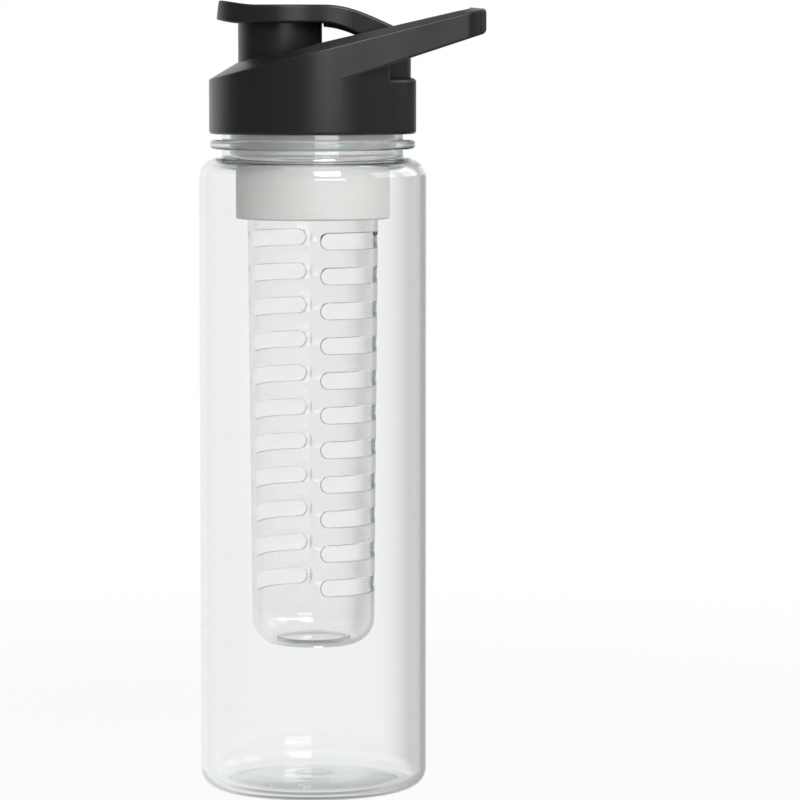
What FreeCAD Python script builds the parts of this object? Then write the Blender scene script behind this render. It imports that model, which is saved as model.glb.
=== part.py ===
import FreeCAD, Part
import math
import os

# Fruit infuser water bottle: a clear bottle, a screw cap with a carry loop and a flip lid over its
# spout, and an infuser basket that hangs in the bottle from a collar in the neck.
# Millimetres, +Z up. The origin is on the bottle's axis in the plane it stands on, and the carry
# loop points along +X, the spout along -X.

# Bottle
BODY_DIAMETER = 73.0
BODY_WALL = 1.8
FOOT_ROUND = 5.8  # outside round between the wall and the standing ring
FOOT_WIDTH = 3.2  # width of the flat standing ring
FOOT_INNER_ROUND = 1.5
BASE_THICKNESS = 2.2
PUSH_UP_HEIGHT = 2.4  # rise of the base inside the standing ring
PUSH_UP_CROWN = 26.0  # diameter where the base turns level
PUSH_UP_ROUND = 70.0
GATE_DIAMETER = 10.8  # moulding gate at the middle of the base
GATE_DEPTH = 0.8
SHOULDER_HEIGHT = 203.3
SHOULDER_ROUND = 6.5
NECK_DIAMETER = 58.2
NECK_WALL = 2.2
NECK_ROOT_ROUND = 0.8
RING_REACH = 3.85  # support ring below the cap, out from the neck
RING_GAP = 2.6  # shoulder to support ring
RING_THICKNESS = 3.1
RING_ROUND = 1.2
MOUTH_RISE = 11.9  # support ring to mouth

# Thread between the neck and the cap
THREAD_PITCH = 4.0
THREAD_DEPTH = 1.3
THREAD_ROOT_WIDTH = 2.2
THREAD_CREST_WIDTH = 1.0
THREAD_CLEARANCE = 0.4  # crest to root, radially
THREAD_EMBED = 0.4  # how deep a ridge is rooted in its wall
NECK_THREAD_START = 3.2  # support ring to the first turn's middle
NECK_THREAD_END = 2.7  # last turn's middle to the mouth
CAP_THREAD_TURNS = 1.0

# Infuser collar and its two gaskets
GASKET_THICKNESS = 1.5
FLANGE_THICKNESS = 1.8
FLANGE_INSET = 0.2  # flange inside the neck's outer face
COLLAR_WALL = 1.6
COLLAR_LENGTH = 40.5  # top of the flange to the lower edge
COLLAR_EDGE_ROUND = 0.6
GUIDE_CLEARANCE = 0.3  # guide band in the neck's bore, radially
GUIDE_STEP = 1.9  # collar's tube inside its guide band
GUIDE_LENGTH = 19.5  # top of the flange to the end of the guide band
GUIDE_LEAD = 1.2
GASKET_CLEARANCE = 0.1

# Infuser basket
SPIGOT_LENGTH = 15.0  # the part that pushes up into the collar
SPIGOT_CLEARANCE = 0.1
SPIGOT_SEAT = 20.4  # lower edge of the collar to the top of the basket
BASKET_WALL = 1.6
SPIGOT_STEP = 2.0  # basket's wall inside its spigot
BASKET_TAPER = 1.4  # how much the radius shrinks to the lower end
BASKET_LENGTH = 157.8
BASKET_NECK = 3.0  # height of the cone below the spigot
BASKET_ROUND = 8.5
BASKET_FOOT = 9.1  # basket's side to the recess in its end
BASKET_RECESS_DEPTH = 1.2
SLOT_ROWS = 11
SLOT_HEIGHT = 5.1
SLOT_TOP_GAP = 6.7  # lower edge of the collar to the first slot's middle
SLOT_END_GAP = 20.0  # last slot's middle to the basket's lower end
SLOT_START = -81.5  # degrees from +X
SLOT_SPAN = 89.0  # degrees
SLOT_COLUMNS = 2

# Cap
SKIRT_WALL = 2.4
SKIRT_GAP = 1.8  # support ring to the skirt's lower edge
SKIRT_EDGE_ROUND = 1.0
CAP_WALL = 2.2
LAND_WIDTH = 4.5  # sealing face above the gasket
DECK_TILT = 14.25  # degrees, rising towards the loop
DECK_FRONT = 2.4  # sealing face to the deck's crease at the front
BEVEL_WIDTH = 9.0
BEVEL_RISE = 3.1
POCKET_DROP = 0.6  # pocket floor below the crease on the axis
POCKET_RIM = 6.7  # skirt's outer face to the pocket, beside the bottle's axis
BACK_WALL_INSET = 1.7  # wall between the loop's bars, inside the skirt's outer face
BACK_SHELF_DROP = 7.3  # pocket floor to the shelf under the back wall
BACK_SHELF_ROUND = 1.3
LOOP_REACH = 22.2  # skirt's outer face to the loop's end
LOOP_TAPER = 13.5  # degrees, each bar towards the middle
LOOP_INSET = 0.05  # bars' outer faces inside the tangent to the skirt
LOOP_CORNER = 8.0
LOOP_END_BAR = 5.0
LOOP_BAR = 4.4  # thickness of a bar where it meets the end bar
LOOP_OPENING_CORNER = 4.0
LOOP_END_DEPTH = 7.7  # crease to underside at the loop's end
LOOP_END_ROUND = 2.0
LOOP_UNDERSIDE_TILT = 18.2  # degrees
LOOP_EDGE_ROUND = 0.8  # lower outer edges
CREASE_ROUND = 0.5
PLUG_TUBE_LENGTH = 16.6  # sealing face to the lower end of the tube inside the collar
PLUG_TUBE_WALL = 1.6
PLUG_TUBE_CLEARANCE = 0.3
SNAP_HEIGHT = 0.5  # bead on the tube, standing into the collar's groove
SNAP_WIDTH = 1.6
SNAP_DROP = 12.0  # sealing face to the bead

# Spout
SPOUT_DIAMETER = 26.9
SPOUT_OFFSET = 10.4
SPOUT_BORE = 18.4
SPOUT_RISE = 12.8  # pocket floor to the rim
SPOUT_CHAMFER = 2.4
SPOUT_RIM_ROUND = 0.5

# Hinge
HINGE_INSET = 8.2  # skirt's outer face to the pin
HINGE_RISE = 4.7  # pocket floor to the pin
PIN_DIAMETER = 2.5
PIN_PRESS_CLEARANCE = 0.01
PIN_RUNNING_CLEARANCE = 0.05
BLOCK_WIDTH = 11.0
BLOCK_RADIUS = 3.2
ARM_RADIUS = 3.6
ARM_SIDE_GAP = 0.3

# Flip lid
LID_WEB = 2.0
LID_WALL = 2.0
LID_HEADROOM = 1.2  # spout rim to the web
LID_SKIRT = 2.6  # how far the side walls reach below the spout's rim
LID_REACH = 20.3  # spout's axis to the tip
LID_HALF_WIDTH = 16.8
LID_ARM_HALF_WIDTH = 12.0
LID_FLAT = 14.4  # spout's axis to the start of the arch
LID_WAIST = 23.4  # spout's axis to where the sides run parallel
LID_EDGE_ROUND = 0.8
TIP_CURL = 1.5
TIP_LEAN = 0.9
TIP_TOP_RUN = 13.5  # length of the curl on the top
TIP_RIM_RUN = 7.5
TIP_RIM_LIFT = 1.2
TIP_EASE = 0.33  # share of the curl's run that each end keeps its slope
ARCH_EASE = 0.36  # the same for the arch over the hinge
ARCH_FALL = 0.53  # share of the arch's fall at its lower handle
WAIST_EASE = 0.45
ARM_CROWN = 0.9  # top of the arms above their round ends
ARM_LEAN = 1.1  # hinge pin to the end of the arch
ARM_FRONT_ANGLE = 242.0  # degrees, where the arm's lower line leaves the round end
RIB_THICKNESS = 1.8
RIB_GAP = 0.55  # spout to the ribs' front end
RIB_DROP = 1.1  # ribs below the side walls at their front end
WINDOW_RUN = 8.5  # hinge pin to the front of the window

# Plug under the lid
PLUG_CLEARANCE = 0.2  # plug in the spout's bore, radially
PLUG_TAPER = 0.7  # how much the radius shrinks to the lower end
PLUG_DEPTH = 4.8  # spout's rim to the plug's lower end
PLUG_WALL = 1.4
PLUG_FLOOR = 2.4
BOSS_DIAMETER = 10.0
BOSS_HEIGHT = 1.2
BOSS_CLEARANCE = 0.02

# Levels and radii that follow from the sizes above
BODY_R = BODY_DIAMETER / 2
NECK_R = NECK_DIAMETER / 2
NECK_BORE_R = NECK_R - NECK_WALL
RING_R = NECK_R + RING_REACH
RING_Z = SHOULDER_HEIGHT + RING_GAP
RING_TOP_Z = RING_Z + RING_THICKNESS
MOUTH_Z = RING_TOP_Z + MOUTH_RISE
FLANGE_Z = MOUTH_Z + GASKET_THICKNESS
FLANGE_TOP_Z = FLANGE_Z + FLANGE_THICKNESS
LAND_Z = FLANGE_TOP_Z + GASKET_THICKNESS
FLANGE_R = NECK_R - FLANGE_INSET
NECK_THREAD_TURNS = (MOUTH_RISE - NECK_THREAD_START - NECK_THREAD_END) / THREAD_PITCH
THREAD_R = NECK_R + THREAD_DEPTH
CAP_BORE_R = THREAD_R + THREAD_CLEARANCE
CAP_THREAD_R = NECK_R + THREAD_CLEARANCE
GUIDE_R = NECK_BORE_R - GUIDE_CLEARANCE
COLLAR_R = GUIDE_R - GUIDE_STEP
COLLAR_BORE_R = COLLAR_R - COLLAR_WALL
COLLAR_Z = FLANGE_TOP_Z - COLLAR_LENGTH
PLUG_TUBE_R = COLLAR_BORE_R - PLUG_TUBE_CLEARANCE
SNAP_Z = LAND_Z - SNAP_DROP
SPIGOT_R = COLLAR_BORE_R - SPIGOT_CLEARANCE
BASKET_TOP_R = SPIGOT_R - SPIGOT_STEP
BASKET_END_R = BASKET_TOP_R - BASKET_TAPER
BASKET_TOP_Z = COLLAR_Z + SPIGOT_SEAT
BASKET_Z = BASKET_TOP_Z - BASKET_LENGTH
SLOT_Z = COLLAR_Z - SLOT_TOP_GAP
SLOT_PITCH = (SLOT_Z - BASKET_Z - SLOT_END_GAP) / (SLOT_ROWS - 1)
SKIRT_R = CAP_BORE_R + SKIRT_WALL
SKIRT_Z = RING_TOP_Z + SKIRT_GAP
SLOPE = math.tan(math.radians(DECK_TILT))
CREASE_Z = LAND_Z + DECK_FRONT + SLOPE * SKIRT_R  # on the axis
POCKET_Z = CREASE_Z - POCKET_DROP
SHELF_Z = POCKET_Z - BACK_SHELF_DROP
CAVITY_R = CAP_BORE_R - LAND_WIDTH
BACK_WALL_R = SKIRT_R - BACK_WALL_INSET
POCKET_HALF_WIDTH = SKIRT_R - POCKET_RIM
LOOP_END = SKIRT_R + LOOP_REACH
SPOUT_X = -SPOUT_OFFSET
SPOUT_R = SPOUT_DIAMETER / 2
SPOUT_TOP_Z = POCKET_Z + SPOUT_RISE
SPOUT_BORE_R = SPOUT_BORE / 2
HINGE_X = SKIRT_R - HINGE_INSET
HINGE_Z = POCKET_Z + HINGE_RISE
PIN_R = PIN_DIAMETER / 2
RIB_INNER_Y = BLOCK_WIDTH / 2 + ARM_SIDE_GAP
LID_RIM_Z = SPOUT_TOP_Z - LID_SKIRT
LID_WEB_Z = SPOUT_TOP_Z + LID_HEADROOM
LID_TOP_Z = LID_WEB_Z + LID_WEB
LID_TIP_X = SPOUT_X - LID_REACH
SKY_Z = LID_TOP_Z + SKIRT_R  # above everything, for cutting solids

UP = FreeCAD.Vector(0, 0, 1)
ORIGIN = FreeCAD.Vector(0, 0, 0)
SAME_POINT = 1e-6
EDGE_STEPS = 6  # points looked at along an edge
QUARTER_EASE = 4 / 3 * (math.sqrt(2) - 1)  # handles that make a quarter of an ellipse


def section(x, z):
    """Point in the upright plane through the axis."""
    return FreeCAD.Vector(x, 0, z)


def plan(x, y):
    """Point in the level plane."""
    return FreeCAD.Vector(x, y, 0)


def line(start, end):
    return Part.LineSegment(start, end).toShape()


def arc(start, middle, end):
    return Part.Arc(start, middle, end).toShape()


def bezier(*poles):
    curve = Part.BezierCurve()
    curve.setPoles(list(poles))
    return curve.toShape()


def face_of(edges):
    return Part.Face(Part.Wire(edges))


def rounded_face(corners, place):
    """Face inside (u, v, radius) corners, each a tangent arc as large as its two sides allow."""
    points = [FreeCAD.Vector(u, v, 0) for u, v, radius in corners]
    count = len(points)
    half_angles = []
    reaches = []
    for index, (u, v, radius) in enumerate(corners):
        back = points[index - 1] - points[index]
        ahead = points[(index + 1) % count] - points[index]
        half_angles.append(back.getAngle(ahead) / 2)
        reaches.append(radius / math.tan(half_angles[index]))
    edges = []
    ends = []
    for index, here in enumerate(points):
        if reaches[index] == 0:
            ends.append((here, here))
            continue
        back = points[index - 1] - here
        ahead = points[(index + 1) % count] - here
        room_back = back.Length / (reaches[index] + reaches[index - 1])
        room_ahead = ahead.Length / (reaches[index] + reaches[(index + 1) % count])
        reach = reaches[index] * min(1, room_back, room_ahead)
        back.normalize()
        ahead.normalize()
        half_angle = half_angles[index]
        radius = reach * math.tan(half_angle)
        bisector = (back + ahead).normalize()
        middle = here + bisector * (radius / math.sin(half_angle) - radius)
        first = here + back * reach
        last = here + ahead * reach
        edges.append(arc(place(first.x, first.y), place(middle.x, middle.y), place(last.x, last.y)))
        ends.append((first, last))
    for index, (first, last) in enumerate(ends):
        before = ends[index - 1][1]
        if not before.isEqual(first, SAME_POINT):
            edges.append(line(place(before.x, before.y), place(first.x, first.y)))
    return Part.Face(Part.Wire(Part.__sortEdges__(edges)))


def turned(corners):
    """Solid of revolution about the bottle's axis from (r, z, radius) corners."""
    return rounded_face(corners, section).revolve(ORIGIN, UP, 360)


def cylinder(radius, low, high, x=0.0):
    return Part.makeCylinder(radius, high - low, FreeCAD.Vector(x, 0, low))


def ring(inner, outer, low, high):
    return turned([(inner, low, 0), (outer, low, 0), (outer, high, 0), (inner, high, 0)])


def cross_pin(radius, half_length):
    """Cylinder along Y on the hinge's axis."""
    start = FreeCAD.Vector(HINGE_X, -half_length, HINGE_Z)
    return Part.makeCylinder(radius, 2 * half_length, start, FreeCAD.Vector(0, 1, 0))


def slab(face, low_y, high_y):
    """Face of the upright plane, swept along Y."""
    moved = face.copy()
    moved.translate(FreeCAD.Vector(0, low_y, 0))
    return moved.extrude(FreeCAD.Vector(0, high_y - low_y, 0))


def column(face, low, high):
    """Face of the level plane, swept upwards."""
    moved = face.copy()
    moved.translate(FreeCAD.Vector(0, 0, low))
    return moved.extrude(FreeCAD.Vector(0, 0, high - low))


def round_edges(solid, radius, is_chosen):
    """Solid with a round on each edge that is_chosen accepts at every point."""
    chosen = []
    for edge in solid.Edges:
        first, last = edge.ParameterRange
        step = (last - first) / EDGE_STEPS
        points = [edge.valueAt(first + step * index) for index in range(EDGE_STEPS + 1)]
        if all(is_chosen(point) for point in points):
            chosen.append(edge)
    return solid.makeFillet(radius, chosen)


def crease_z(x):
    """Height of the deck's outer crease."""
    return CREASE_Z + SLOPE * x


def bar_y(x):
    """How far the loop's bars reach sideways."""
    taper = math.radians(LOOP_TAPER)
    return (SKIRT_R - LOOP_INSET - x * math.sin(taper)) / math.cos(taper)


def thread_ridge(root, crest, middle_z, turns):
    """Helical ridge from its wall at root to its crest, which may be inside or outside it."""
    embedded = root - math.copysign(THREAD_EMBED, crest - root)
    half_root = THREAD_ROOT_WIDTH / 2
    half_crest = THREAD_CREST_WIDTH / 2
    corners = [
        section(embedded, -half_root),
        section(crest, -half_crest),
        section(crest, half_crest),
        section(embedded, half_root),
    ]
    profile = Part.makePolygon(corners + corners[:1])
    helix = Part.Wire(Part.makeHelix(THREAD_PITCH, THREAD_PITCH * turns, root).Edges)
    ridge = helix.makePipeShell([profile], True, True)
    ridge.translate(FreeCAD.Vector(0, 0, middle_z))
    return ridge


def bottle_body():
    foot_outer = BODY_R - FOOT_ROUND
    foot_inner = foot_outer - FOOT_WIDTH
    inside_r = BODY_R - BODY_WALL
    crown_r = PUSH_UP_CROWN / 2
    gate_r = GATE_DIAMETER / 2
    crown_z = PUSH_UP_HEIGHT + BASE_THICKNESS
    inner_round = FOOT_ROUND - BODY_WALL
    shoulder_inside = SHOULDER_HEIGHT - BODY_WALL
    shell = turned([
        (0, PUSH_UP_HEIGHT - GATE_DEPTH, 0),
        (gate_r, PUSH_UP_HEIGHT - GATE_DEPTH, 0),
        (gate_r, PUSH_UP_HEIGHT, 0),
        (crown_r, PUSH_UP_HEIGHT, PUSH_UP_ROUND),
        (foot_inner, 0, FOOT_INNER_ROUND),
        (BODY_R, 0, FOOT_ROUND),
        (BODY_R, SHOULDER_HEIGHT, SHOULDER_ROUND),
        (NECK_R, SHOULDER_HEIGHT, NECK_ROOT_ROUND),
        (NECK_R, RING_Z, 0),
        (RING_R, RING_Z, RING_ROUND),
        (RING_R, RING_TOP_Z, RING_ROUND),
        (NECK_R, RING_TOP_Z, 0),
        (NECK_R, MOUTH_Z, 0),
        (NECK_BORE_R, MOUTH_Z, 0),
        (NECK_BORE_R, shoulder_inside, 0),
        (inside_r, shoulder_inside, SHOULDER_ROUND - BODY_WALL),
        (inside_r, BASE_THICKNESS, inner_round),
        (foot_inner, BASE_THICKNESS, FOOT_INNER_ROUND),
        (crown_r, crown_z, PUSH_UP_ROUND - BASE_THICKNESS),
        (0, crown_z, 0),
    ])
    ridge = thread_ridge(NECK_R, THREAD_R, RING_TOP_Z + NECK_THREAD_START, NECK_THREAD_TURNS)
    return shell.fuse(ridge)


def loop_outline(offset, corner):
    """Level outline of skirt and loop together, moved outwards by offset, as a wire at z = 0."""
    radius = SKIRT_R + offset
    end = LOOP_END + offset
    taper = math.radians(LOOP_TAPER)
    sine = math.sin(taper)
    cosine = math.cos(taper)
    centre_x = end - corner
    centre_y = (radius - corner - sine * centre_x) / cosine
    bar_end = plan(centre_x + corner * sine, centre_y + corner * cosine)
    half_turn = (math.pi / 2 - taper) / 2
    middle = plan(centre_x + corner * math.cos(half_turn), centre_y + corner * math.sin(half_turn))
    tangent = plan(radius * sine, radius * cosine)
    end_start = plan(end, centre_y)

    def other(point):
        return plan(point.x, -point.y)

    return Part.Wire([
        arc(tangent, plan(-radius, 0), other(tangent)),
        line(other(tangent), other(bar_end)),
        arc(other(bar_end), other(middle), other(end_start)),
        line(other(end_start), end_start),
        arc(end_start, middle, bar_end),
        line(bar_end, tangent),
    ])


def roof():
    """Everything under the cap's tilted deck and its bevel, a little wider than the cap."""
    margin = BEVEL_WIDTH / 2
    wide = loop_outline(margin, LOOP_CORNER + margin)
    narrow = loop_outline(-BEVEL_WIDTH, LOOP_CORNER - BEVEL_WIDTH / 2)
    ground = wide.copy()
    ground.translate(FreeCAD.Vector(0, 0, -BODY_DIAMETER))
    wide.translate(FreeCAD.Vector(0, 0, -BEVEL_RISE * margin / BEVEL_WIDTH))
    narrow.translate(FreeCAD.Vector(0, 0, BEVEL_RISE))
    level = Part.makeLoft([ground, wide, narrow], True, True)
    tilt = FreeCAD.Matrix(1, 0, 0, 0, 0, 1, 0, 0, SLOPE, 0, 1, CREASE_Z, 0, 0, 0, 1)
    return level.transformGeometry(tilt)


def loop_bars():
    """Solid wedge of the carry loop, before its opening is cut."""
    taper = math.radians(LOOP_TAPER)
    reach = SKIRT_R - LOOP_INSET
    end_y = bar_y(LOOP_END)
    root = plan(reach * math.sin(taper), reach * math.cos(taper))
    wedge = rounded_face([
        (0, -NECK_BORE_R, 0),
        (root.x, -root.y, 0),
        (LOOP_END, -end_y, LOOP_CORNER),
        (LOOP_END, end_y, LOOP_CORNER),
        (root.x, root.y, 0),
        (0, NECK_BORE_R, 0),
    ], plan)
    solid = column(wedge, SKIRT_Z, SKY_Z)
    drop = math.tan(math.radians(LOOP_UNDERSIDE_TILT))
    end_z = crease_z(LOOP_END) - LOOP_END_DEPTH
    far_x = LOOP_END + SKIRT_R
    below = rounded_face([
        (-SKIRT_R, end_z - drop * (LOOP_END + SKIRT_R), 0),
        (far_x, end_z + drop * SKIRT_R, 0),
        (far_x, 0, 0),
        (-SKIRT_R, 0, 0),
    ], section)
    solid = solid.cut(slab(below, -BODY_DIAMETER, BODY_DIAMETER))

    def on_underside(point):
        height = point.z - end_z - drop * (point.x - LOOP_END)
        return abs(height) < SAME_POINT and point.x > root.x - SAME_POINT

    return round_edges(solid, LOOP_EDGE_ROUND, on_underside)


def loop_end_corners():
    """What is cut off the loop's end to round it in the side view."""
    inner = LOOP_END - LOOP_END_BAR
    crest_z = crease_z(inner) + BEVEL_RISE * LOOP_END_BAR / BEVEL_WIDTH
    drop = math.tan(math.radians(LOOP_UNDERSIDE_TILT))
    low_z = crease_z(LOOP_END) - LOOP_END_DEPTH
    kept = rounded_face([
        (inner, low_z - drop * LOOP_END_BAR, 0),
        (LOOP_END, low_z, LOOP_END_ROUND),
        (LOOP_END, crest_z, LOOP_END_ROUND),
        (inner, crest_z, 0),
    ], section)
    block = Part.makeBox(
        LOOP_END_BAR, BODY_DIAMETER, crest_z - SKIRT_Z, FreeCAD.Vector(inner, -BODY_R, SKIRT_Z),
    )
    return block.cut(slab(kept, -BODY_DIAMETER, BODY_DIAMETER))


def shelf_edge():
    """What is cut off the shelf's outer edge, between the loop's bars, to round it."""
    low = SHELF_Z - BACK_SHELF_ROUND
    inner = SKIRT_R - BACK_SHELF_ROUND
    outer = SKIRT_R + BACK_SHELF_ROUND
    corner = ring(inner, outer, low, SHELF_Z).cut(turned([
        (0, low, 0),
        (SKIRT_R, low, 0),
        (SKIRT_R, SHELF_Z, BACK_SHELF_ROUND),
        (0, SHELF_Z, 0),
    ]))
    return corner.common(column(opening_face(0), low, SHELF_Z))


def opening_face(front_x):
    """Level outline between the loop's bars, from front_x to the end bar."""
    end = LOOP_END - LOOP_END_BAR
    end_y = bar_y(end) - LOOP_BAR
    spread = (POCKET_HALF_WIDTH - end_y) / end
    front_y = POCKET_HALF_WIDTH - spread * front_x
    return rounded_face([
        (front_x, -front_y, 0),
        (end, -end_y, LOOP_OPENING_CORNER),
        (end, end_y, LOOP_OPENING_CORNER),
        (front_x, front_y, 0),
    ], plan)


def under_deck(gap):
    """Space under the deck and the pocket's floor, kept clear of them by gap."""
    level = POCKET_Z - gap
    deck = CREASE_Z + BEVEL_RISE - gap
    turn_x = (level - deck) / SLOPE
    front = -SKIRT_R
    profile = rounded_face([
        (front, SKIRT_Z, 0),
        (SKIRT_R, SKIRT_Z, 0),
        (SKIRT_R, level, 0),
        (turn_x, level, 0),
        (front, deck + SLOPE * front, 0),
    ], section)
    return slab(profile, -SKIRT_R, SKIRT_R)


def plug_tube():
    """Tube that the collar snaps onto, with its bead, up into the deck."""
    low = LAND_Z - PLUG_TUBE_LENGTH
    inner = PLUG_TUBE_R - PLUG_TUBE_WALL
    tube = turned([
        (inner, low, 0),
        (PLUG_TUBE_R, low, 0),
        (PLUG_TUBE_R, SNAP_Z - SNAP_WIDTH / 2, 0),
        (PLUG_TUBE_R + SNAP_HEIGHT, SNAP_Z, 0),
        (PLUG_TUBE_R, SNAP_Z + SNAP_WIDTH / 2, 0),
        (PLUG_TUBE_R, SKY_Z, 0),
        (inner, SKY_Z, 0),
    ])
    reach = under_deck(CAP_WALL / 2).fuse(cylinder(SKIRT_R, low, SKIRT_Z))
    return tube.common(reach)


def hinge_block():
    half = BLOCK_WIDTH / 2
    foot_z = POCKET_Z - CAP_WALL / 2
    front = HINGE_X - BLOCK_RADIUS
    back = HINGE_X + BLOCK_RADIUS
    top = section(HINGE_X, HINGE_Z + BLOCK_RADIUS)
    profile = face_of([
        line(section(front, foot_z), section(back, foot_z)),
        line(section(back, foot_z), section(back, HINGE_Z)),
        arc(section(back, HINGE_Z), top, section(front, HINGE_Z)),
        line(section(front, HINGE_Z), section(front, foot_z)),
    ])
    return slab(profile, -half, half)


def cap_shell():
    skirt = turned([
        (0, SKIRT_Z, 0),
        (SKIRT_R, SKIRT_Z, SKIRT_EDGE_ROUND),
        (SKIRT_R, SKY_Z, 0),
        (0, SKY_Z, 0),
    ])
    body = skirt.fuse(loop_bars()).common(roof())
    body = round_edges(body, CREASE_ROUND, lambda point: abs(point.z - crease_z(point.x)) < CREASE_ROUND)
    body = body.cut(column(opening_face(-SKIRT_R), POCKET_Z, SKY_Z))
    gap = column(opening_face(0), SHELF_Z, SKY_Z).cut(cylinder(BACK_WALL_R, SHELF_Z, SKY_Z))
    body = body.cut(gap).cut(shelf_edge()).cut(loop_end_corners())
    spout = turned([
        (0, LAND_Z, 0),
        (SPOUT_R, LAND_Z, 0),
        (SPOUT_R, SPOUT_TOP_Z, SPOUT_RIM_ROUND),
        (0, SPOUT_TOP_Z, 0),
    ])
    spout.translate(FreeCAD.Vector(SPOUT_X, 0, 0))
    body = body.fuse(spout).fuse(hinge_block())
    body = body.cut(cylinder(CAP_BORE_R, SKIRT_Z, LAND_Z))
    body = body.cut(cylinder(CAVITY_R, SKIRT_Z, SKY_Z).common(under_deck(CAP_WALL)))
    cap_thread_z = RING_TOP_Z + NECK_THREAD_START + THREAD_PITCH / 2
    ridge = thread_ridge(CAP_BORE_R, CAP_THREAD_R, cap_thread_z, CAP_THREAD_TURNS)
    body = body.fuse(plug_tube()).fuse(ridge)
    chamfer = Part.makeCone(
        SPOUT_BORE_R, SPOUT_BORE_R + SPOUT_CHAMFER, SPOUT_CHAMFER,
        FreeCAD.Vector(SPOUT_X, 0, SPOUT_TOP_Z - SPOUT_CHAMFER),
    )
    bore = cylinder(SPOUT_BORE_R, LAND_Z, SKY_Z, SPOUT_X)
    body = body.cut(bore).cut(chamfer)
    return body.cut(cross_pin(PIN_R + PIN_PRESS_CLEARANCE, BLOCK_WIDTH))


def cap_gasket():
    return ring(CAVITY_R - GASKET_CLEARANCE, CAP_BORE_R - THREAD_CLEARANCE, FLANGE_TOP_Z, LAND_Z)


def collar_gasket():
    return ring(GUIDE_R + GASKET_CLEARANCE, FLANGE_R, MOUTH_Z, FLANGE_Z)


def hinge_pin():
    return cross_pin(PIN_R, LID_ARM_HALF_WIDTH)


def infuser_collar():
    guide_z = FLANGE_TOP_Z - GUIDE_LENGTH
    groove_r = COLLAR_BORE_R + SNAP_HEIGHT
    groove_half = SNAP_WIDTH / 2 + PLUG_TUBE_CLEARANCE
    return turned([
        (COLLAR_BORE_R, COLLAR_Z, 0),
        (COLLAR_R, COLLAR_Z, COLLAR_EDGE_ROUND),
        (COLLAR_R, guide_z - GUIDE_LEAD, 0),
        (GUIDE_R, guide_z, 0),
        (GUIDE_R, FLANGE_Z, 0),
        (FLANGE_R, FLANGE_Z, 0),
        (FLANGE_R, FLANGE_TOP_Z, 0),
        (COLLAR_BORE_R, FLANGE_TOP_Z, 0),
        (COLLAR_BORE_R, SNAP_Z + groove_half, 0),
        (groove_r, SNAP_Z, 0),
        (COLLAR_BORE_R, SNAP_Z - groove_half, 0),
    ])


def slot_cutter(middle_z, start_angle):
    """One slot of the basket's wall: a band with round ends."""
    half = SLOT_HEIGHT / 2
    inner = BASKET_END_R / 2
    outer = 2 * BASKET_TOP_R
    end_angle = math.degrees(half / BASKET_TOP_R)
    band = rounded_face([
        (inner, middle_z - half, 0),
        (outer, middle_z - half, 0),
        (outer, middle_z + half, 0),
        (inner, middle_z + half, 0),
    ], section)
    solid = band.revolve(ORIGIN, UP, SLOT_SPAN - 2 * end_angle)
    solid.rotate(ORIGIN, UP, start_angle + end_angle)
    ends = []
    for angle in (start_angle + end_angle, start_angle + SLOT_SPAN - end_angle):
        end = Part.makeCylinder(half, outer, FreeCAD.Vector(inner, 0, middle_z), FreeCAD.Vector(1, 0, 0))
        end.rotate(ORIGIN, UP, angle)
        ends.append(end)
    return solid.fuse(ends)


def infuser_basket():
    spigot_z = BASKET_TOP_Z - SPIGOT_LENGTH
    neck_z = spigot_z - BASKET_NECK
    floor_z = BASKET_Z + BASKET_WALL
    recess_r = BASKET_END_R - BASKET_FOOT
    recess_z = BASKET_Z + BASKET_RECESS_DEPTH
    shell = turned([
        (0, recess_z, 0),
        (recess_r, recess_z, 0),
        (recess_r, BASKET_Z, 0),
        (BASKET_END_R, BASKET_Z, BASKET_ROUND),
        (BASKET_TOP_R, neck_z, 0),
        (SPIGOT_R, spigot_z, 0),
        (SPIGOT_R, BASKET_TOP_Z, 0),
        (SPIGOT_R - BASKET_WALL, BASKET_TOP_Z, 0),
        (SPIGOT_R - BASKET_WALL, spigot_z, 0),
        (BASKET_TOP_R - BASKET_WALL, neck_z, 0),
        (BASKET_END_R - BASKET_WALL, floor_z, BASKET_ROUND - BASKET_WALL),
        (recess_r + BASKET_WALL, floor_z, 0),
        (recess_r + BASKET_WALL, floor_z + BASKET_RECESS_DEPTH, 0),
        (0, floor_z + BASKET_RECESS_DEPTH, 0),
    ])
    cutters = []
    for column_index in range(SLOT_COLUMNS):
        start = SLOT_START + column_index * 360 / SLOT_COLUMNS
        for row in range(SLOT_ROWS):
            cutters.append(slot_cutter(SLOT_Z - row * SLOT_PITCH, start))
    return shell.cut(cutters)


def lid_outline(inset):
    """Level outline of the lid, an oval that narrows to two arms, moved inwards by inset."""
    half = LID_HALF_WIDTH - inset
    arm = LID_ARM_HALF_WIDTH - inset
    reach = LID_REACH - inset
    tip_x = SPOUT_X - reach
    waist_x = SPOUT_X + LID_WAIST
    back = HINGE_X + 2 * ARM_RADIUS
    lean = LID_WAIST * WAIST_EASE
    edges = []
    for side in (-1, 1):
        edges.append(bezier(
            plan(tip_x, 0),
            plan(tip_x, side * half * QUARTER_EASE),
            plan(SPOUT_X - reach * QUARTER_EASE, side * half),
            plan(SPOUT_X, side * half),
        ))
        edges.append(bezier(
            plan(SPOUT_X, side * half),
            plan(SPOUT_X + lean, side * half),
            plan(waist_x - lean, side * arm),
            plan(waist_x, side * arm),
        ))
        edges.append(line(plan(waist_x, side * arm), plan(back, side * arm)))
    edges.append(line(plan(back, -arm), plan(back, arm)))
    return Part.Face(Part.Wire(Part.__sortEdges__(edges)))


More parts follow.
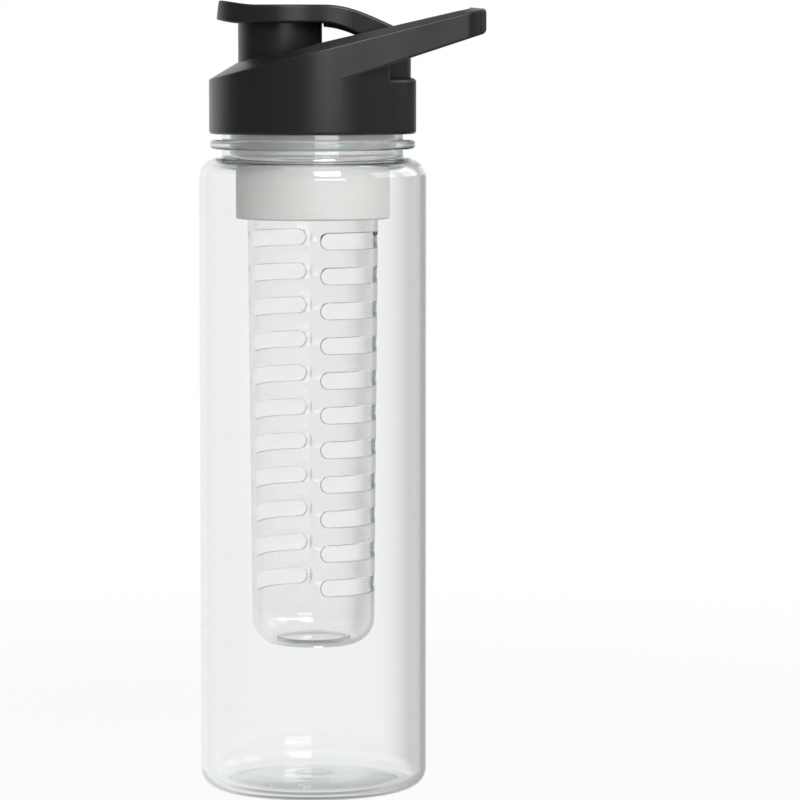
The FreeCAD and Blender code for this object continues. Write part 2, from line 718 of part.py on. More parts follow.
def lid_top_edges(drop):
    """Top line of the lid's side view, from tip to hinge, lowered by drop."""
    top = LID_TOP_Z - drop
    tip = section(LID_TIP_X + TIP_LEAN, top + TIP_CURL)
    flat_start = section(LID_TIP_X + TIP_TOP_RUN, top)
    flat_end = section(SPOUT_X + LID_FLAT, top)
    arch_end = section(HINGE_X + ARM_LEAN, HINGE_Z + ARM_RADIUS + ARM_CROWN - drop)
    curl_ease = TIP_TOP_RUN * TIP_EASE
    arch_ease = (arch_end.x - flat_end.x) * ARCH_EASE
    return [
        bezier(
            tip,
            section(tip.x + curl_ease, tip.z - TIP_CURL * TIP_EASE),
            section(flat_start.x - curl_ease, top),
            flat_start,
        ),
        line(flat_start, flat_end),
        bezier(
            flat_end,
            section(flat_end.x + arch_ease, top),
            section(arch_end.x - arch_ease, arch_end.z + (top - arch_end.z) * ARCH_FALL),
            arch_end,
        ),
    ]


def lid_side(rim_z):
    """Side view of the lid's walls down to rim_z, with the round arm ends about the hinge pin."""
    top_edges = lid_top_edges(0)
    tip = top_edges[0].Vertexes[0].Point
    arch_end = top_edges[-1].Vertexes[-1].Point
    arm_back = section(HINGE_X + ARM_RADIUS, HINGE_Z)
    arm_bottom = section(HINGE_X, HINGE_Z - ARM_RADIUS)
    turn = math.radians(ARM_FRONT_ANGLE)
    arm_front = section(HINGE_X + ARM_RADIUS * math.cos(turn), HINGE_Z + ARM_RADIUS * math.sin(turn))
    rim_end = section(SPOUT_X + LID_FLAT - LID_WALL, rim_z)
    rim_start = section(LID_TIP_X + TIP_RIM_RUN, rim_z)
    tip_low = section(LID_TIP_X, rim_z + TIP_RIM_LIFT)
    ease = (arm_front.x - rim_end.x) * ARCH_EASE
    edges = top_edges + [
        bezier(
            arch_end,
            section(arch_end.x + ARM_RADIUS / 2, arch_end.z - ARM_RADIUS / 4),
            section(arm_back.x, arm_back.z + ARM_RADIUS / 2),
            arm_back,
        ),
        arc(arm_back, arm_bottom, arm_front),
        bezier(
            arm_front,
            section(arm_front.x - ease, arm_front.z + (rim_z - arm_front.z) * ARCH_FALL),
            section(rim_end.x + ease, rim_z),
            rim_end,
        ),
        line(rim_end, rim_start),
        bezier(rim_start, section(rim_start.x - TIP_RIM_RUN / 2, rim_z), tip_low),
        line(tip_low, tip),
    ]
    return face_of(edges)


def lid_hollow():
    """Side view of the space under the lid's web."""
    edges = lid_top_edges(LID_WEB)
    start = edges[0].Vertexes[0].Point
    end = edges[-1].Vertexes[-1].Point
    back = HINGE_X + 3 * ARM_RADIUS
    edges += [
        line(end, section(back, end.z)),
        line(section(back, end.z), section(back, POCKET_Z)),
        line(section(back, POCKET_Z), section(start.x, POCKET_Z)),
        line(section(start.x, POCKET_Z), start),
    ]
    return face_of(edges)


def flip_lid():
    lid = slab(lid_side(LID_RIM_Z), -SKIRT_R, SKIRT_R).common(column(lid_outline(0), POCKET_Z, SKY_Z))
    lid = lid.makeFillet(LID_EDGE_ROUND, lid.Edges)
    hollow = slab(lid_hollow(), -SKIRT_R, SKIRT_R)
    lid = lid.cut(hollow.common(column(lid_outline(LID_WALL), POCKET_Z, SKY_Z)))
    rib_front = Part.makeBox(
        BODY_DIAMETER, BODY_DIAMETER, SKY_Z,
        FreeCAD.Vector(SPOUT_X + SPOUT_R + RIB_GAP - BODY_DIAMETER, -BODY_R, 0),
    )
    rib_side = lid_side(LID_RIM_Z - RIB_DROP)
    ribs = []
    for low in (RIB_INNER_Y, -RIB_INNER_Y - RIB_THICKNESS):
        ribs.append(slab(rib_side, low, low + RIB_THICKNESS).cut(rib_front))
    boss = cylinder(BOSS_DIAMETER / 2, LID_WEB_Z - BOSS_HEIGHT, LID_TOP_Z - LID_WEB / 2, SPOUT_X)
    lid = lid.fuse(ribs + [boss])
    window = Part.makeBox(
        WINDOW_RUN + 3 * ARM_RADIUS, 2 * RIB_INNER_Y, SKY_Z,
        FreeCAD.Vector(HINGE_X - WINDOW_RUN, -RIB_INNER_Y, 0),
    )
    lid = lid.cut(window)
    return lid.cut(cross_pin(PIN_R + PIN_RUNNING_CLEARANCE, SKIRT_R))


def lid_plug():
    top_r = SPOUT_BORE_R - PLUG_CLEARANCE
    end_r = top_r - PLUG_TAPER
    low = SPOUT_TOP_Z - PLUG_DEPTH
    seat_z = SPOUT_TOP_Z - SPOUT_CHAMFER
    boss_r = BOSS_DIAMETER / 2 + BOSS_CLEARANCE
    boss_z = LID_WEB_Z - BOSS_HEIGHT
    cup = turned([
        (0, LID_WEB_Z - PLUG_FLOOR, 0),
        (end_r - PLUG_WALL, LID_WEB_Z - PLUG_FLOOR, 0),
        (end_r - PLUG_WALL, low, 0),
        (end_r, low, 0),
        (top_r, seat_z, 0),
        (top_r, LID_WEB_Z, 0),
        (boss_r, LID_WEB_Z, 0),
        (boss_r, boss_z, 0),
        (0, boss_z, 0),
    ])
    cup.translate(FreeCAD.Vector(SPOUT_X, 0, 0))
    return cup


PIECES = {
    "bottle_body": bottle_body,
    "cap_shell": cap_shell,
    "cap_gasket": cap_gasket,
    "hinge_pin": hinge_pin,
    "flip_lid": flip_lid,
    "lid_plug": lid_plug,
    "infuser_collar": infuser_collar,
    "collar_gasket": collar_gasket,
    "infuser_basket": infuser_basket,
}

os.makedirs("parts", exist_ok=True)
for name, make in PIECES.items():
    shape = make()
    shape.exportStep("parts/" + name + ".step")
    box = shape.BoundBox
    print(name, "solids", len(shape.Solids), "valid", shape.isValid(), "volume %.1f" % shape.Volume,
          "z %.1f to %.1f" % (box.ZMin, box.ZMax), "x %.1f to %.1f" % (box.XMin, box.XMax))
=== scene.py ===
"""Looks, studio and camera of a clear fruit infuser bottle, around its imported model.

Lengths of pieces and finishes are millimetres, those of the studio are metres, and angles are degrees.
Meshes are in metres, +Z up, with the carry loop along +X, the spout along -X and the side that the
camera sees facing -Y.
"""

import logging
import math
from dataclasses import dataclass
from enum import Enum
from typing import Any, Sequence

import bmesh
import bpy
from mathutils import Matrix, Vector


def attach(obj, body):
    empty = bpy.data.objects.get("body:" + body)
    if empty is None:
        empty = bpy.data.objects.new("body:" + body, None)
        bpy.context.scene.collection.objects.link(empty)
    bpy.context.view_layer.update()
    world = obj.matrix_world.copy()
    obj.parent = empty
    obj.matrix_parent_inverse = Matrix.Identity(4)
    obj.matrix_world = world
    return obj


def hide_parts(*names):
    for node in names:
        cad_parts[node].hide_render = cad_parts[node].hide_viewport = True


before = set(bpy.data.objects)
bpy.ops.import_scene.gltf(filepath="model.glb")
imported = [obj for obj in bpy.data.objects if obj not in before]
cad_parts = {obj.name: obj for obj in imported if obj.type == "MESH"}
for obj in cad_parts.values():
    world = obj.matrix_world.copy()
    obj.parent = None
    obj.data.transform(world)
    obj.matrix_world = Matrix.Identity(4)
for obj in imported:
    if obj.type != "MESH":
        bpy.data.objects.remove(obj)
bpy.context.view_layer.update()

MM = 0.001
FULL_TURN_STEPS = 192
ROUND_SEGMENTS = 6
WELD_DISTANCE = 1e-7
SHARP_ANGLE = 32.0
ROUND_PROFILE = 0.5  # a bevel's profile that is a circle's arc
FACE_WEIGHT = 100  # lets the larger face alone decide a normal
TRAPPED_DEPTH = 2.5  # mirrorings after which light in a clear wall goes straight on
UP = Vector((0, 0, 1))
WHITE = (1, 1, 1, 1)
BLACK = (0, 0, 0, 1)

Colour = tuple[float, float, float]
Place = tuple[float, float, float]
Span = tuple[float, float]
log = logging.getLogger("infuser_bottle")


class Body(Enum):
    """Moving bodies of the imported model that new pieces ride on."""

    BOTTLE = "bottle"
    BASKET = "basket"


class Carving(Enum):
    """What a boolean does to a piece."""

    CUT = "DIFFERENCE"
    JOIN = "UNION"


class NodeBench:
    """Adds and joins nodes in one shader node tree."""

    def __init__(self, tree: bpy.types.NodeTree) -> None:
        """Starts on an emptied tree.

        Args:
            tree: Node tree of a material, of a world or of a group.
        """
        self.tree = tree
        tree.nodes.clear()

    def add(self, kind: str, sockets: dict[Any, Any] | None = None, **settings: Any) -> bpy.types.Node:
        """Adds a node.

        Args:
            kind: Node type.
            sockets: Values or sockets for its inputs, by their names or numbers.
            settings: Properties of the node.

        Returns:
            The new node.
        """
        node = self.tree.nodes.new(kind)
        for name, value in settings.items():
            setattr(node, name, value)
        for key, value in (sockets or {}).items():
            if isinstance(value, bpy.types.NodeSocket):
                self.tree.links.new(value, node.inputs[key])
            else:
                node.inputs[key].default_value = value
        return node

    def math(self, operation: str, *values: Any) -> bpy.types.NodeSocket:
        """Adds a Math node.

        Args:
            operation: Its operation.
            values: Numbers or sockets, in the order of its inputs.

        Returns:
            Its result.
        """
        node = self.add("ShaderNodeMath", dict(enumerate(values)), operation=operation)
        return node.outputs[0]

    def blend(self, share: Any, low: Any, high: Any) -> bpy.types.NodeSocket:
        """Mixes two numbers.

        Args:
            share: How much of high there is, from 0 to 1.
            low: Number or socket where share is 0.
            high: Number or socket where share is 1.

        Returns:
            The mixed number.
        """
        node = self.add("ShaderNodeMix", {0: share, 2: low, 3: high}, data_type="FLOAT")
        return node.outputs[0]

    def tint(self, share: Any, low: Any, high: Any) -> bpy.types.NodeSocket:
        """Mixes two colours.

        Args:
            share: How much of high there is, from 0 to 1.
            low: Colour or socket where share is 0.
            high: Colour or socket where share is 1.

        Returns:
            The mixed colour.
        """
        node = self.add("ShaderNodeMix", {0: share, 6: low, 7: high}, data_type="RGBA")
        return node.outputs[2]

    def ease(self, value: Any, start: float, end: float) -> bpy.types.NodeSocket:
        """Turns a number into a soft step.

        Args:
            value: Number or socket.
            start: Where the step is 0.
            end: Where the step is 1.

        Returns:
            The step, from 0 to 1.
        """
        sockets = {"Value": value, "From Min": start, "From Max": end}
        node = self.add("ShaderNodeMapRange", sockets, interpolation_type="SMOOTHSTEP")
        return node.outputs[0]

    def noise(self, place: Any, scale: Any, detail: float = 2.0) -> bpy.types.NodeSocket:
        """Adds a noise texture.

        Args:
            place: Socket with the coordinates.
            scale: Waves per metre.
            detail: Octaves of finer noise.

        Returns:
            The noise, about 0.5.
        """
        node = self.add("ShaderNodeTexNoise", {"Vector": place, "Scale": scale, "Detail": detail})
        return node.outputs[0]


class EffectGroup(NodeBench):
    """A shader node group with named sockets."""

    def __init__(self, name: str, inputs: dict[str, float | None], outputs: Sequence[str]) -> None:
        """Makes the group with its sockets.

        Args:
            name: Name of the group.
            inputs: Value of each number that goes in, or None for coordinates.
            outputs: Names of the numbers that come out.
        """
        super().__init__(bpy.data.node_groups.new(name, "ShaderNodeTree"))
        for label, value in inputs.items():
            kind = "NodeSocketVector" if value is None else "NodeSocketFloat"
            socket = self.tree.interface.new_socket(name=label, in_out="INPUT", socket_type=kind)
            if value is not None:
                socket.default_value = value
        for label in outputs:
            self.tree.interface.new_socket(name=label, in_out="OUTPUT", socket_type="NodeSocketFloat")
        self.given = self.add("NodeGroupInput").outputs

    def close(self, **results: Any) -> None:
        """Joins the results to the group's outputs.

        Args:
            results: Socket for each output, by its name.
        """
        self.add("NodeGroupOutput", results)


class SharedEffects:
    """Surface effects that more than one finish uses, each a node group built once.

    Scales are waves per metre, and a span is where a soft step starts and ends.
    """

    GRAIN = "moulded_grain"
    MARKS = "handling_marks"
    EDGE_SHEEN = "edge_rub"
    RECESS_SHADE = "open_surface"

    FINE_RATIO = 2.7
    FINE_SHARE = 0.35
    DRIFT_SCALE = 38.0
    TONE_GRAIN_SHARE = 0.4
    TONE_SPAN = (0.3, 0.7)
    SMUDGE_SCALE = 31.0
    SMUDGE_SPAN = (0.48, 0.72)
    HAIR_SCALE = 900.0
    HAIR_STRETCH = (1, 1, 0.06)
    HAIR_SPAN = (0.62, 0.74)
    HAIR_SHARE = 0.5
    # Painted highlight along outer edges, broken up in patches.
    EDGE_SAMPLES = 4
    EDGE_SPAN = (0.995, 0.8)
    BREAK_SCALE = 260.0
    BREAK_SPAN = (0.15, 0.6)
    # Painted shade in recesses, from ambient occlusion with noise.
    RECESS_SHADE_SAMPLES = 8
    RECESS_SHADE_SPAN = (0.45, 0.85)
    SHADE_PATCH_SCALE = 120.0
    SHADE_PATCH_SHARE = 0.1

    def __init__(self) -> None:
        """Builds every group."""
        self.build_grain()
        self.build_marks()
        self.build_edge_sheen()
        self.build_recess_shade()

    def build_grain(self) -> None:
        """Fine even texture of an eroded mould, and the slow drift of its tone."""
        group = EffectGroup(self.GRAIN, {"Place": None, "Size": 0.3}, ["Height", "Tone"])
        waves = group.math("DIVIDE", 1 / MM, group.given["Size"])
        fine = group.math("MULTIPLY", waves, self.FINE_RATIO)
        coarse_grain = group.noise(group.given["Place"], waves)
        fine_grain = group.noise(group.given["Place"], fine)
        height = group.blend(self.FINE_SHARE, coarse_grain, fine_grain)
        drift = group.noise(group.given["Place"], self.DRIFT_SCALE, detail=3.0)
        tone = group.blend(self.TONE_GRAIN_SHARE, drift, coarse_grain)
        group.close(Height=height, Tone=group.ease(tone, *self.TONE_SPAN))

    def build_marks(self) -> None:
        """Roughness of a surface that hands have touched: soft smudges and hairline rubs."""
        inputs = {"Place": None, "Clean": 0.1, "Handled": 0.3}
        group = EffectGroup(self.MARKS, inputs, ["Roughness"])
        patches = group.noise(group.given["Place"], self.SMUDGE_SCALE, detail=4.0)
        smudge = group.ease(patches, *self.SMUDGE_SPAN)
        stretched = group.add(
            "ShaderNodeMapping", {"Vector": group.given["Place"], "Scale": self.HAIR_STRETCH}
        )
        streaks = group.noise(stretched.outputs[0], self.HAIR_SCALE, detail=3.0)
        hairs = group.math("MULTIPLY", group.ease(streaks, *self.HAIR_SPAN), self.HAIR_SHARE)
        mask = group.math("MAXIMUM", smudge, hairs)
        group.close(Roughness=group.blend(mask, group.given["Clean"], group.given["Handled"]))

    def build_edge_sheen(self) -> None:
        """Mask for a painted highlight along outer edges, from how a rounded normal leaves the true
        one, in patches.
        """
        group = EffectGroup(self.EDGE_SHEEN, {"Place": None, "Radius": 0.0006}, ["Mask"])
        rounded = group.add(
            "ShaderNodeBevel", {"Radius": group.given["Radius"]}, samples=self.EDGE_SAMPLES
        )
        true_normal = group.add("ShaderNodeNewGeometry").outputs["Normal"]
        likeness = group.add(
            "ShaderNodeVectorMath", {0: rounded.outputs[0], 1: true_normal}, operation="DOT_PRODUCT"
        )
        edge = group.ease(likeness.outputs["Value"], *self.EDGE_SPAN)
        patches = group.noise(group.given["Place"], self.BREAK_SCALE, detail=4.0)
        broken = group.ease(patches, *self.BREAK_SPAN)
        group.close(Mask=group.math("MULTIPLY", edge, broken))

    def build_recess_shade(self) -> None:
        """Mask for painted shade: 1 in the open, lower in recesses, which are darkened and made
        rougher.
        """
        group = EffectGroup(self.RECESS_SHADE, {"Place": None, "Reach": 0.03}, ["Mask"])
        around = group.add(
            "ShaderNodeAmbientOcclusion",
            {"Distance": group.given["Reach"]},
            samples=self.RECESS_SHADE_SAMPLES,
            only_local=True,
        )
        patches = group.noise(group.given["Place"], self.SHADE_PATCH_SCALE, detail=3.0)
        openness = group.math(
            "ADD", around.outputs["AO"], group.math("MULTIPLY", patches, self.SHADE_PATCH_SHARE)
        )
        group.close(Mask=group.ease(openness, *self.RECESS_SHADE_SPAN))

    @staticmethod
    def place(bench: NodeBench, name: str, **sockets: Any) -> bpy.types.Node:
        """Puts a group into a material, on Object coordinates.

        Args:
            bench: Bench of the material.
            name: Name of the group.
            sockets: Values of its inputs.

        Returns:
            The group's node.
        """
        spot = bench.add("ShaderNodeTexCoord").outputs["Object"]
        node = bench.add("ShaderNodeGroup", node_tree=bpy.data.node_groups[name])
        bench.tree.links.new(spot, node.inputs["Place"])
        for label, value in sockets.items():
            node.inputs[label].default_value = value
        return node


@dataclass(frozen=True)
class ClearPlastic:
    """Polished clear copolyester.

    Attributes:
        name: Name of the material.
        polish: Roughness of clean surface.
        haze: Roughness of handled surface.
        body_tint: Colour that light takes on inside the wall.
        density: How soon it takes that colour on, per metre.
        flow_scale: The moulding's slow waves per metre.
        flow_depth: Depth of these waves.
        ior: Refraction.
        shade_tint: Colour of the light that passes straight through.
    """

    name: str
    polish: float = 0.0
    haze: float = 0.06
    body_tint: Colour = (0.772, 0.806, 0.812)
    density: float = 105.0
    flow_scale: float = 45.0
    flow_depth: float = 0.02
    ior: float = 1.56
    shade_tint: Colour = (0.95, 0.965, 0.965)

    def material(self) -> bpy.types.Material:
        """Builds the material.

        Returns:
            Glass-like plastic with a faint tint, smudges and flow waves.
        """
        made = bpy.data.materials.new(self.name)
        made.use_nodes = True
        bench = NodeBench(made.node_tree)
        marks = SharedEffects.place(
            bench, SharedEffects.MARKS, Clean=self.polish, Handled=self.haze
        )
        spot = bench.add("ShaderNodeTexCoord").outputs["Object"]
        waves = bench.noise(spot, self.flow_scale, detail=1.0)
        bump = bench.add(
            "ShaderNodeBump", {"Height": waves, "Strength": 1.0, "Distance": self.flow_depth * MM}
        )
        shader = bench.add("ShaderNodeBsdfPrincipled", {
            "Base Color": WHITE,
            "Roughness": marks.outputs["Roughness"],
            "IOR": self.ior,
            "Transmission Weight": 1.0,
            "Normal": bump.outputs[0],
        })
        path = bench.add("ShaderNodeLightPath").outputs
        trapped = bench.math("GREATER_THAN", path["Glossy Depth"], TRAPPED_DEPTH)
        straight = bench.math("MAXIMUM", path["Is Shadow Ray"], trapped)
        through = bench.add("ShaderNodeBsdfTransparent", {"Color": (*self.shade_tint, 1)})
        surface = bench.add("ShaderNodeMixShader", {
            0: straight,
            1: shader.outputs[0],
            2: through.outputs[0],
        })
        absorb = bench.add("ShaderNodeVolumeAbsorption", {
            "Color": (*self.body_tint, 1),
            "Density": self.density,
        })
        bench.add("ShaderNodeOutputMaterial", {
            "Surface": surface.outputs[0],
            "Volume": absorb.outputs[0],
        })
        return made


@dataclass(frozen=True)
class MouldedPlastic:
    """Coloured plastic or rubber from a mould with a fine grain.

    Attributes:
        name: Name of the material.
        colour: Main colour.
        drift_colour: Colour at the other end of its slow drift.
        sheen_colour: Colour of the painted highlight along edges.
        clean: Roughness of clean surface.
        handled: Roughness of handled surface.
        grain_size: Size of the grain.
        grain_depth: Depth of the grain.
        sheen_radius: Width of the painted highlight along edges.
        glow: Share of light that scatters inside.
        glow_depth: How far it scatters.
        recess_shade: How much darker, as painted shade, and rougher recesses are.
        dull: Roughness in a recess.
    """

    name: str
    colour: Colour
    drift_colour: Colour
    sheen_colour: Colour
    clean: float
    handled: float
    grain_size: float
    grain_depth: float
    sheen_radius: float = 0.7
    glow: float = 0.0
    glow_depth: float = 1.0
    recess_shade: float = 0.2
    dull: float = 0.85

    def material(self) -> bpy.types.Material:
        """Builds the material.

        Returns:
            Plastic with grain, drift, smudges, a painted highlight along edges and painted shade in
            rougher recesses.
        """
        made = bpy.data.materials.new(self.name)
        made.use_nodes = True
        bench = NodeBench(made.node_tree)
        grain = SharedEffects.place(bench, SharedEffects.GRAIN, Size=self.grain_size)
        marks = SharedEffects.place(
            bench, SharedEffects.MARKS, Clean=self.clean, Handled=self.handled
        )
        # Painted highlight: outer edges turn to the lighter edge colour.
        sheen_node = SharedEffects.place(bench, SharedEffects.EDGE_SHEEN, Radius=self.sheen_radius * MM)
        body = bench.tint(grain.outputs["Tone"], (*self.colour, 1), (*self.drift_colour, 1))
        sheened = bench.tint(sheen_node.outputs["Mask"], body, (*self.sheen_colour, 1))
        # Painted shade: recesses are darkened towards black and made rougher, from ambient occlusion.
        openness = SharedEffects.place(bench, SharedEffects.RECESS_SHADE).outputs["Mask"]
        share = bench.blend(openness, 1 - self.recess_shade, 1.0)
        colour = bench.tint(share, BLACK, sheened)
        bump = bench.add("ShaderNodeBump", {
            "Height": grain.outputs["Height"],
            "Strength": 1.0,
            "Distance": self.grain_depth * MM,
        })
        shader = bench.add("ShaderNodeBsdfPrincipled", {
            "Base Color": colour,
            "Roughness": bench.blend(share, self.dull, marks.outputs["Roughness"]),
            "Normal": bump.outputs[0],
            "Subsurface Weight": self.glow,
            "Subsurface Scale": self.glow_depth * MM,
        })
        bench.add("ShaderNodeOutputMaterial", {"Surface": shader.outputs[0]})
        return made


@dataclass(frozen=True)
class DrawnSteel:
    """Drawn stainless wire.

    Attributes:
        name: Name of the material.
        colour: Colour of the metal.
        polish: Roughness between the drawing lines.
        lines: Roughness in the drawing lines.
        line_scale: Drawing lines per metre round the wire.
        line_stretch: Scale of the lines along X, Y and Z. The wire runs along Y.
    """

    name: str
    colour: Colour = (0.6, 0.6, 0.61)
    polish: float = 0.22
    lines: float = 0.42
    line_scale: float = 9000.0
    line_stretch: Place = (1, 0.01, 1)

    def material(self) -> bpy.types.Material:
        """Builds the material.

        Returns:
            Metal with lines along the wire.
        """
        made = bpy.data.materials.new(self.name)
        made.use_nodes = True
        bench = NodeBench(made.node_tree)
        spot = bench.add("ShaderNodeTexCoord").outputs["Object"]
        along = bench.add("ShaderNodeMapping", {"Vector": spot, "Scale": self.line_stretch})
        drawn = bench.noise(along.outputs[0], self.line_scale)
        shader = bench.add("ShaderNodeBsdfPrincipled", {
            "Base Color": (*self.colour, 1),
            "Metallic": 1.0,
            "Roughness": bench.blend(drawn, self.polish, self.lines),
        })
        bench.add("ShaderNodeOutputMaterial", {"Surface": shader.outputs[0]})
        return made


@dataclass(frozen=True)
class Corner:
    """Corner of a turned profile.

    Attributes:
        r: Distance from the axis.
        z: Height.
        round: Radius of the round at the corner.
    """

    r: float
    z: float
    round: float = 0.0


class Lathe:
    """Turns profiles about the bottle's axis and finishes meshes."""

    @staticmethod
    def turn(corners: Sequence[Corner]) -> bmesh.types.BMesh:
        """Turns a profile that starts and ends on the axis.

        Args:
            corners: Corners from one pole to the other.

        Returns:
            A closed mesh.
        """
        mesh = Lathe.wire(corners)
        geometry = mesh.verts[:] + mesh.edges[:]
        bmesh.ops.spin(
            mesh, geom=geometry, cent=(0, 0, 0), axis=UP, angle=math.tau,
            steps=FULL_TURN_STEPS, use_merge=True,
        )
        return mesh

    @staticmethod
    def wire(corners: Sequence[Corner]) -> bmesh.types.BMesh:
        """Draws a profile with its rounds.

        Args:
            corners: Corners from one end to the other.

        Returns:
            A chain of edges in the upright plane through the axis.
        """
        mesh = bmesh.new()
        verts = [mesh.verts.new((corner.r * MM, 0, corner.z * MM)) for corner in corners]
        for first, second in zip(verts, verts[1:]):
            mesh.edges.new((first, second))
        for index, corner in enumerate(corners):
            if corner.round:
                Lathe.round_corner(mesh, verts[index], corner.round * MM)
        return mesh

    @staticmethod
    def round_corner(mesh: bmesh.types.BMesh, vert: bmesh.types.BMVert, radius: float) -> None:
        """Rounds a corner of a profile.

        Args:
            mesh: Mesh that holds the profile.
            vert: The corner, with two edges.
            radius: Radius in metres.
        """
        arms = [edge.other_vert(vert).co - vert.co for edge in vert.link_edges]
        reach = radius / math.tan(arms[0].angle(arms[1]) / 2)
        bmesh.ops.bevel(
            mesh, geom=[vert], offset=reach, offset_type="OFFSET", profile_type="SUPERELLIPSE",
            segments=ROUND_SEGMENTS, profile=ROUND_PROFILE, affect="VERTICES", material=-1,
        )

    @staticmethod
    def finish(mesh: bmesh.types.BMesh, name: str) -> bpy.types.Object:
        """Closes a mesh, turns its faces outwards and links it as an object.

        Args:
            mesh: The mesh, which is freed.
            name: Name of the object.

        Returns:
            The object.
        """
        data = bpy.data.meshes.new(name)
        made = bpy.data.objects.new(name, data)
        bpy.context.scene.collection.objects.link(made)
        bmesh.ops.remove_doubles(mesh, verts=mesh.verts, dist=WELD_DISTANCE)
        bmesh.ops.recalc_face_normals(mesh, faces=mesh.faces)
        mesh.to_mesh(data)
        mesh.free()
        Lathe.shade(data)
        return made

    @staticmethod
    def shade(data: bpy.types.Mesh) -> None:
        """Shades a mesh smooth up to its sharp edges."""
        data.shade_smooth()
        data.set_sharp_from_angle(angle=math.radians(SHARP_ANGLE))

    @staticmethod
    def even_normals(piece: bpy.types.Object) -> None:
        """Lets large faces keep their own normals beside small rounds."""
        weigher = piece.modifiers.new("even_normals", "WEIGHTED_NORMAL")
        weigher.mode = "FACE_AREA"
        weigher.weight = FACE_WEIGHT
        weigher.keep_sharp = True

    @staticmethod
    def carve(piece: bpy.types.Object, tool: bpy.types.Object, how: Carving) -> None:
        """Cuts a tool out of a piece or joins it on, and removes the tool.

        Args:
            piece: The piece.
            tool: Closed mesh.
            how: Whether it is cut out or joined on.
        """
        boolean = piece.modifiers.new("carve", "BOOLEAN")
        boolean.object = tool
        boolean.operation = how.value
        boolean.solver = "EXACT"
        graph = bpy.context.evaluated_depsgraph_get()
        carved = bpy.data.meshes.new_from_object(piece.evaluated_get(graph))
        piece.modifiers.clear()
        carved.name = piece.name
        piece.data = carved
        bpy.data.objects.remove(tool)
        Lathe.shade(carved)


@dataclass
class BottleWall:
    """Clear bottle: push-up base, wall, shoulder, support ring and threaded neck."""

    body_r: float = 36.5
    wall: float = 1.8
    foot_round: float = 5.8
    foot_width: float = 3.2
    foot_inner_round: float = 1.5
    base_thickness: float = 2.2
    push_up_z: float = 2.4
    crown_r: float = 13.0
    push_up_round: float = 70.0
    gate_r: float = 5.4
    gate_depth: float = 0.8
    shoulder_z: float = 203.3
    shoulder_round: float = 6.5
    neck_r: float = 29.1
    neck_wall: float = 2.2
    neck_root_round: float = 0.8
    ring_r: float = 32.95
    ring_z: float = 205.9
    ring_top_z: float = 209.0
    ring_round: float = 1.2
    mouth_z: float = 220.9
    edge_round: float = 0.3
    thread_pitch: float = 4.0
    thread_depth: float = 1.3
    thread_embed: float = 0.4
    thread_root: float = 2.2
    thread_crest: float = 1.0
    thread_start: float = 3.2
    thread_end: float = 2.7

    def profile(self) -> list[Corner]:
        """Lists the section's corners.

        Returns:
            Corners from the middle of the underside to the middle of the floor inside.
        """
        foot_inner = self.body_r - self.foot_round - self.foot_width
        inside_r = self.body_r - self.wall
        bore_r = self.neck_r - self.neck_wall
        shoulder_inside = self.shoulder_z - self.wall
        floor_z = self.push_up_z + self.base_thickness
        gate_z = self.push_up_z - self.gate_depth
        edge = self.edge_round
        return [
            Corner(0, gate_z),
            Corner(self.gate_r, gate_z, edge),
            Corner(self.gate_r, self.push_up_z, edge),
            Corner(self.crown_r, self.push_up_z, self.push_up_round),
            Corner(foot_inner, 0, self.foot_inner_round),
            Corner(self.body_r, 0, self.foot_round),
            Corner(self.body_r, self.shoulder_z, self.shoulder_round),
            Corner(self.neck_r, self.shoulder_z, self.neck_root_round),
            Corner(self.neck_r, self.ring_z, edge),
            Corner(self.ring_r, self.ring_z, self.ring_round),
            Corner(self.ring_r, self.ring_top_z, self.ring_round),
            Corner(self.neck_r, self.ring_top_z, edge),
            Corner(self.neck_r, self.mouth_z, edge),
            Corner(bore_r, self.mouth_z, edge),
            Corner(bore_r, shoulder_inside, edge),
            Corner(inside_r, shoulder_inside, self.shoulder_round - self.wall),
            Corner(inside_r, self.base_thickness, self.foot_round - self.wall),
            Corner(foot_inner, self.base_thickness, self.foot_inner_round),
            Corner(self.crown_r, floor_z, self.push_up_round - self.base_thickness),
            Corner(0, floor_z),
        ]

    def thread(self) -> bpy.types.Object:
        """Makes the ridge of the neck's thread.

        Returns:
            A closed helical ridge, rooted in the neck.
        """
        start_z = self.ring_top_z + self.thread_start
        turns = (self.mouth_z - self.thread_end - start_z) / self.thread_pitch
        steps = round(FULL_TURN_STEPS * turns)
        root_r = self.neck_r - self.thread_embed
        crest_r = self.neck_r + self.thread_depth
        mesh = bmesh.new()
        section = mesh.faces.new([
            mesh.verts.new((r * MM, 0, (start_z + rise) * MM))
            for r, rise in (
                (root_r, -self.thread_root / 2),
                (crest_r, -self.thread_crest / 2),
                (crest_r, self.thread_crest / 2),
                (root_r, self.thread_root / 2),
            )
        ])
        climb = Vector((0, 0, self.thread_pitch * turns / steps * MM))
        geometry = [section] + section.edges[:] + section.verts[:]
        bmesh.ops.spin(
            mesh, geom=geometry, cent=(0, 0, 0), axis=UP, angle=math.tau * turns,
            steps=steps, dvec=climb,
        )
        return Lathe.finish(mesh, "neck_thread")

    def build(self) -> bpy.types.Object:
        """Makes the bottle.

        Returns:
            The piece, before its finish.
        """
        piece = Lathe.finish(Lathe.turn(self.profile()), "clear_bottle_wall")
        Lathe.carve(piece, self.thread(), Carving.JOIN)
        Lathe.even_normals(piece)
        return piece

    def dress(self, piece: bpy.types.Object, finish: ClearPlastic) -> None:
        """Gives the bottle its finish and puts it in place of its solid.

        Args:
            piece: The bottle.
            finish: Its plastic.
        """
        piece.data.materials.clear()
        piece.data.materials.append(finish.material())
        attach(piece, Body.BOTTLE.value)
        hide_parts("bottle_body")


